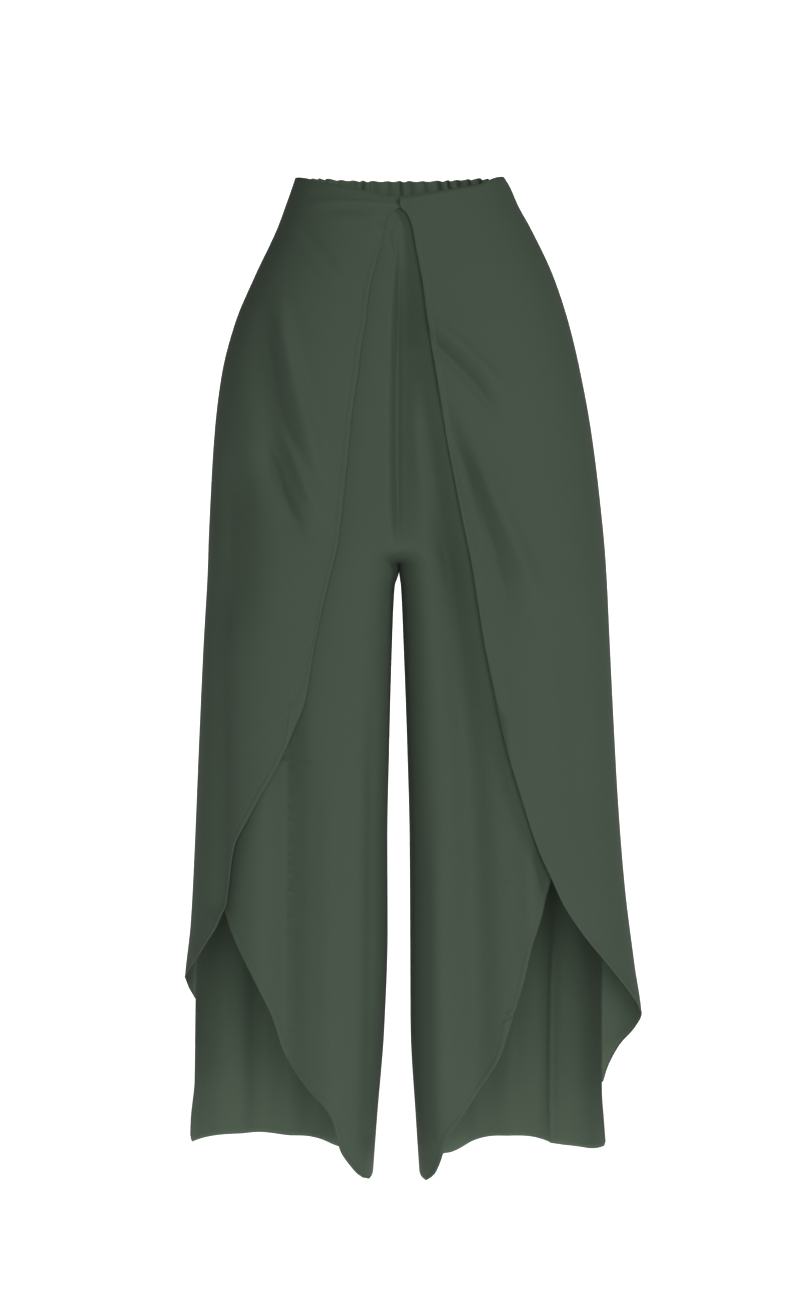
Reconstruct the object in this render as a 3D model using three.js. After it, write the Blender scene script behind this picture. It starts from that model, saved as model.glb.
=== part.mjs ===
// Wide-leg wrap trousers, filled out as worn: two legs of a front and a back panel each, a petal-shaped
// overlay wrapped across each front, and a gathered elastic casing along the back of the waist.
// Millimetres, +Z up. The front faces -Y and the wearer's left is +X. The origin is the middle of the waist.
import * as THREE from "three";

// Cloth and seams
const wall = 1.5;
const casingWall = 2.2;
const seamGap = 0.4;
const casingGap = 0.6;
const underStep = 2.8; // an under panel lies this far inside the side seam, below the overlay
const leastLift = 2.6; // an overlay stands at least this far before the under panel

// Heights
const sideTop = 20;
const backRise = 10; // the back waist edge rises this far above the side seams, most of it near them
const risePower = 5;
const underDrop = 4; // the under panels' top edge is hidden below the overlays'
const waistHalf = 119;
const levelBelow = -110; // the slope of the waist edge has died away here
const casingHeight = 40;
const crotchZ = -403;
const frontRiseTop = -345; // where the middle front seam starts to turn under
const backRiseTop = -235;
const hemZ = -1040;
const hemWaveFrom = -900; // the back hem's own rise and fall begins below this height
const tipZ = -1056; // the under panels' tips hang a little lower than the back hem

// Sections
const seamY = 6; // the side seams and inseams lie this far behind the middle
const outerPower = 2.25; // superellipse powers of a section's outer and inner corners
const innerPower = 2.8;
const crossReach = 20; // where an overlay crosses the middle, one step of place is this long
const legLevel = -500; // places along the legs are spaced evenly at this height
const topLevel = -285; // and above this height they are spaced evenly at each height

// Gathers along the elastic
const gathers = 24;
const gatherDepth = 2.2;
const gatherFadeEnd = -190;
const gatherPinch = 0.25; // the casing's waves are this much flatter halfway up

// Where the left overlay crosses over the right one: how far it lifts, and where that dies away.
const crossing = { lift: 2.4, fullX: 15, endX: 45, fullZ: -40, endZ: -90 };

const clothRoughness = 0.85;
const colours = { under: 0x434f42, overlay: 0x4a5748, back: 0x3f4b3f, casing: 0x374338 };

// front and back: depth of the under cloth before and behind the middle. centre: where a leg is deepest.
// left and right: each leg's inner wall. lift: how far the overlay stands before the under panel.
const bodyTable = [
  { z: 40, front: 85, back: 87, centre: 14, left: 0.25, right: 0.25, lift: 2.6 },
  { z: 20, front: 87, back: 90, centre: 16, left: 0.25, right: 0.25, lift: 2.6 },
  { z: -40, front: 98, back: 106, centre: 28, left: 0.25, right: 0.25, lift: 4.5 },
  { z: -100, front: 107, back: 120, centre: 42, left: 0.25, right: 0.25, lift: 8 },
  { z: -160, front: 113, back: 130, centre: 54, left: 0.25, right: 0.25, lift: 10 },
  { z: -220, front: 116, back: 134, centre: 64, left: 0.25, right: 0.25, lift: 11 },
  { z: -300, front: 117, back: 133, centre: 78, left: 0.25, right: 0.25, lift: 11 },
  { z: -360, front: 118, back: 128, centre: 92, left: 0.25, right: 0.3, lift: 11 },
  { z: -395, front: 118, back: 125, centre: 101, left: 0.25, right: 0.3, lift: 11 },
  { z: -409, front: 118.5, back: 123.5, centre: 104.5, left: 0.3, right: 0.6, lift: 11 },
  { z: -425, front: 119, back: 122, centre: 108, left: 1.9, right: 4.5, lift: 11 },
  { z: -500, front: 120, back: 119, centre: 113, left: 5.2, right: 7.8, lift: 12 },
  { z: -600, front: 122, back: 118, centre: 115, left: 8.8, right: 10.5, lift: 12 },
  { z: -700, front: 124, back: 118, centre: 116, left: 11.4, right: 12.5, lift: 13 },
  { z: -800, front: 126, back: 120, centre: 117, left: 12, right: 12.2, lift: 14 },
  { z: -900, front: 128, back: 123, centre: 118, left: 12.4, right: 15.5, lift: 15 },
  { z: -1000, front: 130, back: 126, centre: 119, left: 18, right: 23.5, lift: 16 },
  { z: -1060, front: 131, back: 128, centre: 120, left: 22, right: 28, lift: 16 },
];

// seam: the side seam's distance from the middle. widest: the overlay's reach where it flares past the seam.
// flareY: how far before the middle it is widest.
const sideTable = {
  left: [
    { z: 40, seam: 108, widest: 108.5, flareY: 4 },
    { z: 20, seam: 113.5, widest: 114, flareY: 4 },
    { z: 8, seam: 120.5, widest: 121, flareY: 4 },
    { z: -13, seam: 129.5, widest: 130, flareY: 6 },
    { z: -39, seam: 143.5, widest: 144, flareY: 8 },
    { z: -91, seam: 167, widest: 168, flareY: 12 },
    { z: -144, seam: 184, widest: 185, flareY: 14 },
    { z: -196, seam: 196, widest: 197, flareY: 16 },
    { z: -257, seam: 207, widest: 208, flareY: 18 },
    { z: -327, seam: 215, widest: 217, flareY: 18 },
    { z: -396, seam: 220, widest: 223.5, flareY: 20 },
    { z: -484, seam: 223, widest: 228, flareY: 22 },
    { z: -571, seam: 224, widest: 232, flareY: 26 },
    { z: -658, seam: 224, widest: 236.5, flareY: 30 },
    { z: -745, seam: 223, widest: 243, flareY: 34 },
    { z: -832, seam: 222, widest: 253.5, flareY: 38 },
    { z: -889, seam: 221.5, widest: 261.2, flareY: 40 },
    { z: -975, seam: 221.8, widest: 263, flareY: 40 },
    { z: -1008, seam: 224, widest: 263, flareY: 40 },
    { z: -1060, seam: 228, widest: 263, flareY: 40 },
  ],
  right: [
    { z: 40, seam: 107, widest: 107.5, flareY: 4 },
    { z: 20, seam: 112, widest: 112.5, flareY: 4 },
    { z: -13, seam: 123, widest: 123.5, flareY: 6 },
    { z: -39, seam: 132.5, widest: 133, flareY: 8 },
    { z: -91, seam: 156, widest: 157, flareY: 12 },
    { z: -144, seam: 178, widest: 179, flareY: 14 },
    { z: -196, seam: 190.5, widest: 192, flareY: 16 },
    { z: -257, seam: 198, widest: 199.5, flareY: 18 },
    { z: -327, seam: 202, widest: 204, flareY: 18 },
    { z: -396, seam: 205, widest: 207, flareY: 20 },
    { z: -484, seam: 208.5, widest: 211.5, flareY: 20 },
    { z: -614, seam: 212, widest: 217, flareY: 22 },
    { z: -702, seam: 215, widest: 220.5, flareY: 24 },
    { z: -789, seam: 218, widest: 225, flareY: 24 },
    { z: -850, seam: 221.5, widest: 231.6, flareY: 22 },
    { z: -880, seam: 222.4, widest: 233, flareY: 22 },
    { z: -964, seam: 223.4, widest: 233, flareY: 22 },
    { z: -1008, seam: 227.6, widest: 233, flareY: 22 },
    { z: -1060, seam: 229, widest: 233, flareY: 22 },
  ],
};

// The overlays' free edges, from the middle of the waist round to the side seam. x is measured from the
// middle, and past says that the edge has gone round the widest point and comes back towards the seam.
const overlayEdge = {
  left: [
    { z: -16, x: 0 },
    { z: -27, x: 1 },
    { z: -38, x: 9.5 },
    { z: -53, x: 14.3 },
    { z: -84, x: 20.2 },
    { z: -136, x: 28.3 },
    { z: -200, x: 38 },
    { z: -260, x: 48 },
    { z: -322, x: 59.7 },
    { z: -384, x: 72 },
    { z: -443, x: 82 },
    { z: -524, x: 96.5 },
    { z: -596, x: 112 },
    { z: -647, x: 127 },
    { z: -702, x: 145 },
    { z: -735, x: 160 },
    { z: -761, x: 172 },
    { z: -794, x: 194 },
    { z: -827, x: 221 },
    { z: -859, x: 246 },
    { z: -876, x: 257 },
    { z: -889, x: 261.2, past: true },
    { z: -903, x: 256.5, past: true },
    { z: -926, x: 240, past: true },
    { z: -950, x: 228, past: true },
    { z: -966, x: 223, past: true },
  ],
  right: [
    { z: -16, x: -7 },
    { z: -24, x: -5 },
    { z: -28, x: 1 },
    { z: -37, x: 11.6 },
    { z: -57, x: 16.8 },
    { z: -84, x: 23 },
    { z: -118, x: 31.2 },
    { z: -163, x: 37 },
    { z: -207, x: 43 },
    { z: -267, x: 51.2 },
    { z: -311, x: 55.8 },
    { z: -347, x: 59.4 },
    { z: -395, x: 66 },
    { z: -443, x: 78 },
    { z: -494, x: 89 },
    { z: -548, x: 98 },
    { z: -581, x: 111 },
    { z: -614, x: 126 },
    { z: -651, x: 147 },
    { z: -673, x: 159 },
    { z: -702, x: 174 },
    { z: -740, x: 182 },
    { z: -780, x: 190 },
    { z: -806, x: 205 },
    { z: -832, x: 222 },
    { z: -843, x: 229 },
    { z: -850, x: 231.6, past: true },
    { z: -861, x: 229.5, past: true },
    { z: -875, x: 223, past: true },
  ],
};

// The under panels' free edges, from where they leave the side seam down to the tip at the inseam.
const underEdge = {
  left: [
    { z: -560, x: 220.4 },
    { z: -595, x: 217 },
    { z: -630, x: 209.5 },
    { z: -665, x: 197.5 },
    { z: -695, x: 182 },
    { z: -725, x: 165 },
    { z: -750, x: 156 },
    { z: -776, x: 149 },
    { z: -804, x: 139 },
    { z: -845, x: 130 },
    { z: -881, x: 119 },
    { z: -922, x: 106 },
    { z: -947, x: 91 },
    { z: -980, x: 69 },
    { z: -1003, x: 54 },
    { z: -1031, x: 44 },
    { z: -1047, x: 37 },
    { z: tipZ, x: 29 },
  ],
  right: [
    { z: -610, x: 208.2 },
    { z: -655, x: 207 },
    { z: -695, x: 203 },
    { z: -732, x: 196.5 },
    { z: -765, x: 187 },
    { z: -797, x: 175 },
    { z: -841, x: 153 },
    { z: -881, x: 134 },
    { z: -914, x: 123 },
    { z: -940, x: 108 },
    { z: -958, x: 93 },
    { z: -973, x: 79 },
    { z: -988, x: 70 },
    { z: -1019, x: 62 },
    { z: -1038, x: 50 },
    { z: -1050, x: 40 },
    { z: tipZ, x: 32 },
  ],
};

// How far the front waist edge lies below the top of the side seams, by distance from the middle.
const waistDip = [
  { x: 0, left: -36, right: -36 },
  { x: 12, left: -33.5, right: -33.3 },
  { x: 25, left: -30.5, right: -29.8 },
  { x: 41, left: -27, right: -25.5 },
  { x: 58, left: -23.2, right: -21.2 },
  { x: 76, left: -19.2, right: -16.8 },
  { x: 97, left: -9, right: -9 },
  { x: 112, left: -3, right: -3.3 },
  { x: waistHalf, left: 0, right: 0 },
];

// The height of the back panels' hems, by place along the section.
const backHem = [
  { place: 0, left: -1058, right: -1057 },
  { place: 0.35, left: -1061, right: -1057 },
  { place: 0.6, left: -1060, right: -1054.5 },
  { place: 0.85, left: -1048, right: -1047 },
  { place: 1.05, left: -1042, right: -1041 },
  { place: 1.35, left: -1049, right: -1037.5 },
  { place: 1.6, left: -1050, right: -1037 },
  { place: 1.9, left: -1040, right: -1035 },
  { place: 2, left: -1031, right: -1024 },
];

// The largest folds, one row each, as troughs seen from the front (or from behind, on the back panels). A
// negative depth makes a ridge. x is measured from the middle towards the panel's own side. open folds run
// out at the lower end.
const folds = {
  overlay_left: [
    { x0: 50, z0: -235, x1: 90, z1: -359, x2: 130, z2: -495, depth: 9, width0: 9, width1: 16 },
    { x0: 70, z0: -262, x1: 114, z1: -352, x2: 164, z2: -475, depth: -5, width0: 9, width1: 10 },
    { x0: 38, z0: -158, x1: 76, z1: -205, x2: 116, z2: -262, depth: 6, width0: 8, width1: 11 },
    { x0: 188, z0: -420, x1: 186, z1: -560, x2: 190, z2: -760, depth: 6, width0: 22, width1: 26 },
  ],
  overlay_right: [
    { x0: 126, z0: -130, x1: 108, z1: -215, x2: 72, z2: -330, depth: -6, width0: 10, width1: 14 },
    { x0: 150, z0: -140, x1: 142, z1: -230, x2: 128, z2: -300, depth: 5, width0: 12, width1: 16 },
    { x0: 134, z0: -250, x1: 121, z1: -305, x2: 88, z2: -362, depth: -5, width0: 9, width1: 10 },
    { x0: 160, z0: -290, x1: 164, z1: -370, x2: 158, z2: -480, depth: 7, width0: 20, width1: 22 },
    { x0: 200, z0: -370, x1: 188, z1: -520, x2: 190, z2: -760, depth: 7, width0: 9, width1: 12, open: true },
  ],
  front_panel_left: [
    { x0: 30, z0: -300, x1: 92, z1: -500, x2: 80, z2: -980, depth: 14, width0: 15, width1: 23, open: true },
    { x0: 42, z0: -640, x1: 42, z1: -800, x2: 46, z2: -1010, depth: -4, width0: 11, width1: 12, open: true },
    { x0: 134, z0: -620, x1: 140, z1: -760, x2: 138, z2: -900, depth: -5, width0: 10, width1: 11 },
  ],
  front_panel_right: [
    { x0: 116, z0: -480, x1: 122, z1: -700, x2: 118, z2: -990, depth: 14, width0: 16, width1: 21, open: true },
    { x0: 74, z0: -560, x1: 74, z1: -760, x2: 72, z2: -1000, depth: -4, width0: 12, width1: 14, open: true },
    { x0: 27, z0: -480, x1: 27, z1: -700, x2: 30, z2: -1010, depth: 4, width0: 8, width1: 9, open: true },
  ],
  back_panel_left: [
    { x0: 66, z0: -330, x1: 62, z1: -600, x2: 62, z2: hemZ, depth: 12, width0: 14, width1: 20, open: true },
    { x0: 128, z0: -250, x1: 130, z1: -560, x2: 128, z2: hemZ, depth: 11, width0: 14, width1: 21, open: true },
    { x0: 188, z0: -300, x1: 188, z1: -600, x2: 184, z2: hemZ, depth: 9, width0: 13, width1: 18, open: true },
  ],
  back_panel_right: [
    { x0: 58, z0: -320, x1: 60, z1: -600, x2: 66, z2: hemZ, depth: 12, width0: 14, width1: 20, open: true },
    { x0: 118, z0: -270, x1: 122, z1: -580, x2: 126, z2: hemZ, depth: 11, width0: 14, width1: 21, open: true },
    { x0: 180, z0: -310, x1: 182, z1: -600, x2: 182, z2: hemZ, depth: 9, width0: 13, width1: 18, open: true },
  ],
};

const clamp = (value, low, high) => Math.min(Math.max(value, low), high);

const smoothStep = (value) => {
  const t = clamp(value, 0, 1);
  return t * t * (3 - 2 * t);
};

// A smooth curve through a table's column, by height or another column, that never swings past its rows.
function curveOf(table, column, by = "z") {
  const rows = [...table].sort((a, b) => a[by] - b[by]);
  const rise = rows.slice(1).map((row, i) => (row[column] - rows[i][column]) / (row[by] - rows[i][by]));
  const slope = rows.map((row, i) => {
    if (i === 0) return rise[0];
    if (i === rows.length - 1) return rise[i - 1];
    return rise[i - 1] * rise[i] <= 0 ? 0 : (2 * rise[i - 1] * rise[i]) / (rise[i - 1] + rise[i]);
  });
  return (at) => {
    const last = rows.length - 2;
    const found = rows.findIndex((row) => row[by] > at) - 1;
    const i = found < -1 ? last : Math.max(found, 0);
    const span = rows[i + 1][by] - rows[i][by];
    const t = clamp((at - rows[i][by]) / span, 0, 1);
    const s = 1 - t;
    return (
      s * s * (1 + 2 * t) * rows[i][column] +
      t * t * (3 - 2 * t) * rows[i + 1][column] +
      span * t * s * (s * slope[i] - t * slope[i + 1])
    );
  };
}

const columnsOf = (table, names) => Object.fromEntries(names.map((name) => [name, curveOf(table, name)]));
const body = columnsOf(bodyTable, ["front", "back", "centre", "left", "right", "lift"]);
const sides = Object.fromEntries(
  Object.entries(sideTable).map(([side, table]) => [side, columnsOf(table, ["seam", "widest", "flareY"])]),
);

// A layer's section at height z, for the wearer's left, as a function of a place along it: 0 at the middle of
// the body or the inseam, 1 where the leg is deepest, 2 at its side, and for an overlay on to 3, back at the
// seam. Its corners are quarter superellipses. Above the crotch the inner one opens out, by its distance
// from the crotch, into the trunk.
function sectionOf(layer, side, z) {
  const isBack = layer === "back";
  const isOverlay = layer === "overlay";
  const facing = isBack ? 1 : -1;
  const depth = isBack ? body.back(z) : body.front(z) + (isOverlay ? body.lift(z) : 0);
  const seamDepth = facing * seamY + seamGap / 2;
  const centre = body.centre(z);
  const inner = body[side](z);
  const seamX = sides[side].seam(z) - (layer === "under" ? underStep : 0);
  const outerX = isOverlay ? sides[side].widest(z) : seamX;
  const outerDepth = isOverlay ? sides[side].flareY(z) : seamDepth;
  const aboveCrotch = clamp((z - crotchZ) / ((isBack ? backRiseTop : frontRiseTop) - crotchZ), 0, 1);
  return (place) => {
    const angle = (Math.PI / 2) * (Math.max(place, 0) % 1 || (place > 0 ? 1 : 0));
    if (place <= 1) {
      const across = 1 - Math.cos(angle) ** (2 / innerPower);
      const away = Math.min(Math.hypot(across, aboveCrotch), 1);
      const inward = 1 - (1 - (1 - away) ** innerPower) ** (1 / innerPower);
      const x = inner + (centre - inner) * across + Math.min(place, 0) * crossReach;
      return { x, y: facing * (depth - (depth - seamDepth) * inward) };
    }
    if (place <= 2) {
      const across = Math.sin(angle) ** (2 / outerPower);
      const inward = 1 - Math.cos(angle) ** (2 / outerPower);
      return { x: centre + (outerX - centre) * across, y: facing * (depth - (depth - outerDepth) * inward) };
    }
    const x = outerX - (outerX - seamX) * (1 - Math.cos(angle));
    return { x, y: facing * (outerDepth - (outerDepth - seamDepth) * Math.sin(angle)) };
  };
}

// A section's point at a place, moved out square to it.
function pointOn(section, place, lastPlace, out, facing) {
  const small = 0.01;
  const a = section(place === 0 ? 0 : place - small);
  const b = section(Math.min(place + small, lastPlace));
  const span = Math.hypot(b.x - a.x, b.y - a.y);
  const p = section(place);
  return { x: p.x - (facing * out * (b.y - a.y)) / span, y: p.y + (facing * out * (b.x - a.x)) / span };
}

// The place on a section where its x reaches a value, before or past the widest point.
function placeAt(section, x, past) {
  if (!past && x < section(0).x) return (x - section(0).x) / crossReach;
  let low = past ? 2 : 0;
  let high = low + (past ? 1 : 2);
  for (let i = 0; i < 24; i++) {
    const middle = (low + high) / 2;
    if (section(middle).x < x !== past) low = middle;
    else high = middle;
  }
  return high;
}

const spread = (from, to, count) =>
  Array.from({ length: count + 1 }, (_, i) => from + ((to - from) * i) / count);

// The length along a section up to each of a list of places.
function lengthsAlong(section, places) {
  const points = places.map(section);
  const lengths = [0];
  for (let i = 1; i < points.length; i++) {
    lengths.push(lengths[i - 1] + Math.hypot(points[i].x - points[i - 1].x, points[i].y - points[i - 1].y));
  }
  return lengths;
}

// Places that are evenly far apart along a section, from one place to another.
function evenPlaces(section, from, to, count) {
  const samples = 90;
  const places = spread(from, to, samples);
  const lengths = lengthsAlong(section, places);
  return spread(0, lengths[samples], count).map((goal) => {
    const found = lengths.findIndex((length) => length >= goal);
    const i = found < 1 ? (goal > 0 ? samples : 1) : found;
    const share = Math.min((goal - lengths[i - 1]) / (lengths[i] - lengths[i - 1]), 1);
    return places[i - 1] + (places[i] - places[i - 1]) * share;
  });
}

// Where a free edge is at height z: its x, and whether it has gone past the widest point.
function edgeOf(table) {
  const x = curveOf(table, "x");
  const turn = table.find((row) => row.past);
  return (z) => ({ x: x(z), past: Boolean(turn) && z <= turn.z });
}

// Distance from a point to a fold's line, a Bezier curve through three points, and how far along it is.
function nearest(fold, x, z) {
  const steps = 10;
  const at = (t) => ({
    x: (1 - t) ** 2 * fold.x0 + 2 * t * (1 - t) * fold.x1 + t * t * fold.x2,
    z: (1 - t) ** 2 * fold.z0 + 2 * t * (1 - t) * fold.z1 + t * t * fold.z2,
  });
  let best = { distance: Infinity, along: 0 };
  for (let i = 0; i < steps; i++) {
    const a = at(i / steps);
    const b = at((i + 1) / steps);
    const span = (b.x - a.x) ** 2 + (b.z - a.z) ** 2;
    const t = clamp(((x - a.x) * (b.x - a.x) + (z - a.z) * (b.z - a.z)) / span, 0, 1);
    const distance = Math.hypot(x - a.x - (b.x - a.x) * t, z - a.z - (b.z - a.z) * t);
    if (distance < best.distance) best = { distance, along: (i + t) / steps };
  }
  return best;
}

// How deep all of a panel's troughs are at one place: a bell across each fold, which fades in along it.
function troughs(list, x, z) {
  return list.reduce((sum, fold) => {
    const { distance, along } = nearest(fold, x, z);
    const width = fold.width0 + (fold.width1 - fold.width0) * along;
    const fade = smoothStep(along / 0.35) * (fold.open ? 1 : smoothStep((1 - along) / 0.35));
    return sum + fold.depth * fade * Math.exp(-((distance / width) ** 2));
  }, 0);
}

// The front waist edge dips to the middle, and the back one rises to it. Both fade out down the body.
const levelling = (z) => smoothStep((z - levelBelow) / (sideTop - levelBelow));
const dips = { left: curveOf(waistDip, "left", "x"), right: curveOf(waistDip, "right", "x") };
const dipAt = (side, x) => dips[side](clamp(x, 0, waistHalf));
const riseAt = (x) => backRise * (1 - clamp(Math.abs(x) / waistHalf, 0, 1) ** risePower);

// Near the bottom a back panel's rows bend towards the line of its hem.
const hems = { left: curveOf(backHem, "left", "place"), right: curveOf(backHem, "right", "place") };
const hemShift = (side, place, v) =>
  (hems[side](place) - hemZ) * smoothStep((hemWaveFrom - v) / (hemWaveFrom - hemZ));

const sideSign = { left: 1, right: -1 };

// Heights that close in on the crotch, where the seam's curve turns level.
const crotchSteps = (top) => [0.3, 0.5, 0.68, 0.82, 0.92, 0.98].map((t) => top + (crotchZ - top) * t);

// A closed wall of cloth. surface(place, v) is its outer face. Each row gives its v and its points' places,
// and facing is 1 where the places run to the right as seen from outside. keep moves an inner point that
// has crossed a limit.
function clothWall(surface, rows, thickness, facing, keep = (p) => p) {
  const low = rows[rows.length - 1].v;
  const high = rows[0].v;
  const smallPlace = 0.01;
  const positions = [];
  const add = (p) => positions.push(p.x, p.y, p.z) / 3 - 1;
  const grid = rows.map(({ v, places }) => {
    const last = places[places.length - 1];
    return places.map((place) => {
      const before = surface(Math.max(place - smallPlace, places[0]), v);
      const after = surface(Math.min(place + smallPlace, last), v);
      const up = surface(place, Math.min(v + 1, high)).sub(surface(place, Math.max(v - 1, low)));
      const normal = after.sub(before).cross(up).normalize().multiplyScalar(facing);
      const point = surface(place, v);
      return { place, outer: add(point), inner: add(keep(point.clone().addScaledVector(normal, -thickness))) };
    });
  });
  const triangles = [];
  const face = (a, b, c) => triangles.push(...(facing > 0 ? [a, b, c] : [a, c, b]));
  // Two rows are joined by whichever next point comes first along them.
  const zip = (upper, lower, flip) => {
    let i = 0;
    let j = 0;
    while (i < upper.length - 1 || j < lower.length - 1) {
      const nextUpper = i < upper.length - 1 ? upper[i + 1].place : Infinity;
      const nextLower = j < lower.length - 1 ? lower[j + 1].place : Infinity;
      const advance = nextUpper <= nextLower;
      const corner = advance ? upper[i + 1].at : lower[j + 1].at;
      if (flip) face(upper[i].at, corner, lower[j].at);
      else face(upper[i].at, lower[j].at, corner);
      if (advance) i++;
      else j++;
    }
  };
  const line = (row, key) => row.map((point) => ({ place: point.place, at: point[key] }));
  const rim = (point, keys) => keys.map((key, place) => ({ place, at: point[key] }));
  const lastOf = (row) => row[row.length - 1];
  for (let r = 0; r < grid.length - 1; r++) {
    const [upper, lower] = [grid[r], grid[r + 1]];
    zip(line(upper, "outer"), line(lower, "outer"), false);
    zip(line(upper, "inner"), line(lower, "inner"), true);
    zip(rim(upper[0], ["inner", "outer"]), rim(lower[0], ["inner", "outer"]), false);
    zip(rim(lastOf(upper), ["outer", "inner"]), rim(lastOf(lower), ["outer", "inner"]), false);
  }
  zip(line(grid[0], "inner"), line(grid[0], "outer"), false);
  zip(line(lastOf(grid), "outer"), line(lastOf(grid), "inner"), false);
  const geometry = new THREE.BufferGeometry();
  geometry.setAttribute("position", new THREE.Float32BufferAttribute(positions, 3));
  geometry.setIndex(triangles);
  geometry.computeVertexNormals();
  return geometry;
}

function named(name, geometry, colour) {
  const look = { color: colour, roughness: clothRoughness, metalness: 0, side: THREE.DoubleSide };
  const mesh = new THREE.Mesh(geometry, new THREE.MeshStandardMaterial(look));
  mesh.name = name;
  return mesh;
}

function keepFromMiddle(side) {
  return (p) => {
    p.x = sideSign[side] * Math.max(sideSign[side] * p.x, seamGap / 2);
    return p;
  };
}

// The same places at each height of a leg, so that a panel's lines of points run down it.
const legPlaces = (layer, side, last, count) => evenPlaces(sectionOf(layer, side, legLevel), 0, last, count);
const between = (places, from, to) => [from, ...places.filter((p) => p > from + 0.04 && p < to - 0.04), to];

// Folds die away at a panel's two seams.
const seamFade = (place) => smoothStep(place / 0.5) * smoothStep((2 - place) / 0.5);

// An under panel: from the middle front seam, or the inseam, to the side seam or its own free edge.
function frontPanel(side) {
  const name = `front_panel_${side}`;
  const edge = edgeOf(underEdge[side]);
  const surface = (place, v) => {
    const fade = levelling(v);
    const flatX = sectionOf("under", side, v - underDrop * fade)(place).x;
    const z = v + (dipAt(side, flatX) - underDrop) * fade;
    const section = sectionOf("under", side, z);
    const out = -troughs(folds[name], section(place).x, z) * seamFade(place);
    const p = pointOn(section, place, 2, out, -1);
    return new THREE.Vector3(sideSign[side] * p.x, p.y, z);
  };
  const legs = legPlaces("under", side, 2, 26);
  const levels = [
    ...[sideTop, -15, -60, -110, -170, -230, topLevel, frontRiseTop],
    ...crotchSteps(frontRiseTop),
    ...[crotchZ, -412, -430, -480],
    ...underEdge[side].map((row) => row.z),
  ];
  const rows = levels.map((v) => {
    const section = sectionOf("under", side, v);
    if (v > topLevel) return { v, places: evenPlaces(section, 0, 2, 14) };
    return { v, places: between(legs, 0, v < underEdge[side][0].z ? placeAt(section, edge(v).x, false) : 2) };
  });
  return named(name, clothWall(surface, rows, wall, sideSign[side], keepFromMiddle(side)), colours.under);
}

// An overlay: from its free edge to the side seam, lying on the under panel. The left one crosses over the
// right one at the middle of the waist.
function overlay(side) {
  const name = `overlay_${side}`;
  const edge = edgeOf(overlayEdge[side]);
  const crossShare = (x, z) =>
    smoothStep((crossing.endX - x) / (crossing.endX - crossing.fullX)) *
    smoothStep((z - crossing.endZ) / (crossing.fullZ - crossing.endZ));
  const surface = (place, v) => {
    const fade = levelling(v);
    const z = v + dipAt(side, sectionOf("overlay", side, v)(place).x) * fade;
    const section = sectionOf("overlay", side, z);
    const x = section(place).x;
    const room = Math.max(body.lift(z) - leastLift, 0);
    const trough = Math.min(troughs(folds[name], x, z), room) * smoothStep((3 - place) / 1.2);
    const lift = side === "left" ? crossing.lift * crossShare(x, z) : 0;
    const p = pointOn(section, place, 3, lift - trough, -1);
    return new THREE.Vector3(sideSign[side] * p.x, p.y, z);
  };
  const legs = legPlaces("overlay", side, 3, 26);
  const levels = [
    ...[sideTop, 6, -15, -35, -60, -90],
    ...overlayEdge[side].filter((row) => row.z < levelBelow).map((row) => row.z),
  ];
  const rows = levels.map((v) => {
    const section = sectionOf("overlay", side, v);
    const { x, past } = edge(v + waistDip[0][side] * levelling(v));
    const from = placeAt(section, x, past);
    if (v > topLevel) return { v, places: evenPlaces(section, from, 3, 18) };
    const places = between(legs, from, 3);
    return { v, places: places.length > 4 ? places : spread(from, 3, 3) };
  });
  return named(name, clothWall(surface, rows, wall, sideSign[side]), colours.overlay);
}

// Waves of the cloth along the elastic, by share of one half of the back. They die away at the side seam.
const gatherWave = (share) =>
  gatherDepth * Math.cos(Math.PI * gathers * share) * smoothStep((0.99 - share) / 0.07);
const shareAt = (section, place) =>
  lengthsAlong(section, spread(0, place, 40)).at(-1) / lengthsAlong(section, spread(0, 2, 80)).at(-1);

// A back panel: from the middle back seam, or the inseam, to the side seam, gathered at its top edge.
function backPanel(side) {
  const name = `back_panel_${side}`;
  const top = sideTop - casingHeight - casingGap;
  const surface = (place, v) => {
    const fade = levelling(v);
    const gathered = smoothStep((v - gatherFadeEnd) / (top - gatherFadeEnd));
    const level = sectionOf("back", side, v);
    const x = level(place).x;
    const z = v + riseAt(x) * fade + hemShift(side, place, v);
    const section = sectionOf("back", side, z);
    const wave = gathered > 0 ? gathered * gatherWave(shareAt(level, place)) : 0;
    const out = wave - troughs(folds[name], section(place).x, z) * seamFade(place);
    const p = pointOn(section, place, 2, out, 1);
    return new THREE.Vector3(sideSign[side] * p.x, p.y, z);
  };
  const legs = legPlaces("back", side, 2, 26);
  const levels = [
    ...[top, -50, -90, -140, -190, backRiseTop],
    ...crotchSteps(backRiseTop),
    ...[crotchZ, -412, -430],
    ...spread(-480, hemZ, 9),
  ];
  const rows = levels.map((v) => {
    const count = v > -60 ? 72 : v > -150 ? 48 : 24;
    return { v, places: v > backRiseTop ? evenPlaces(sectionOf("back", side, v), 0, 2, count) : legs };
  });
  return named(name, clothWall(surface, rows, wall, -sideSign[side], keepFromMiddle(side)), colours.back);
}

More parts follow.
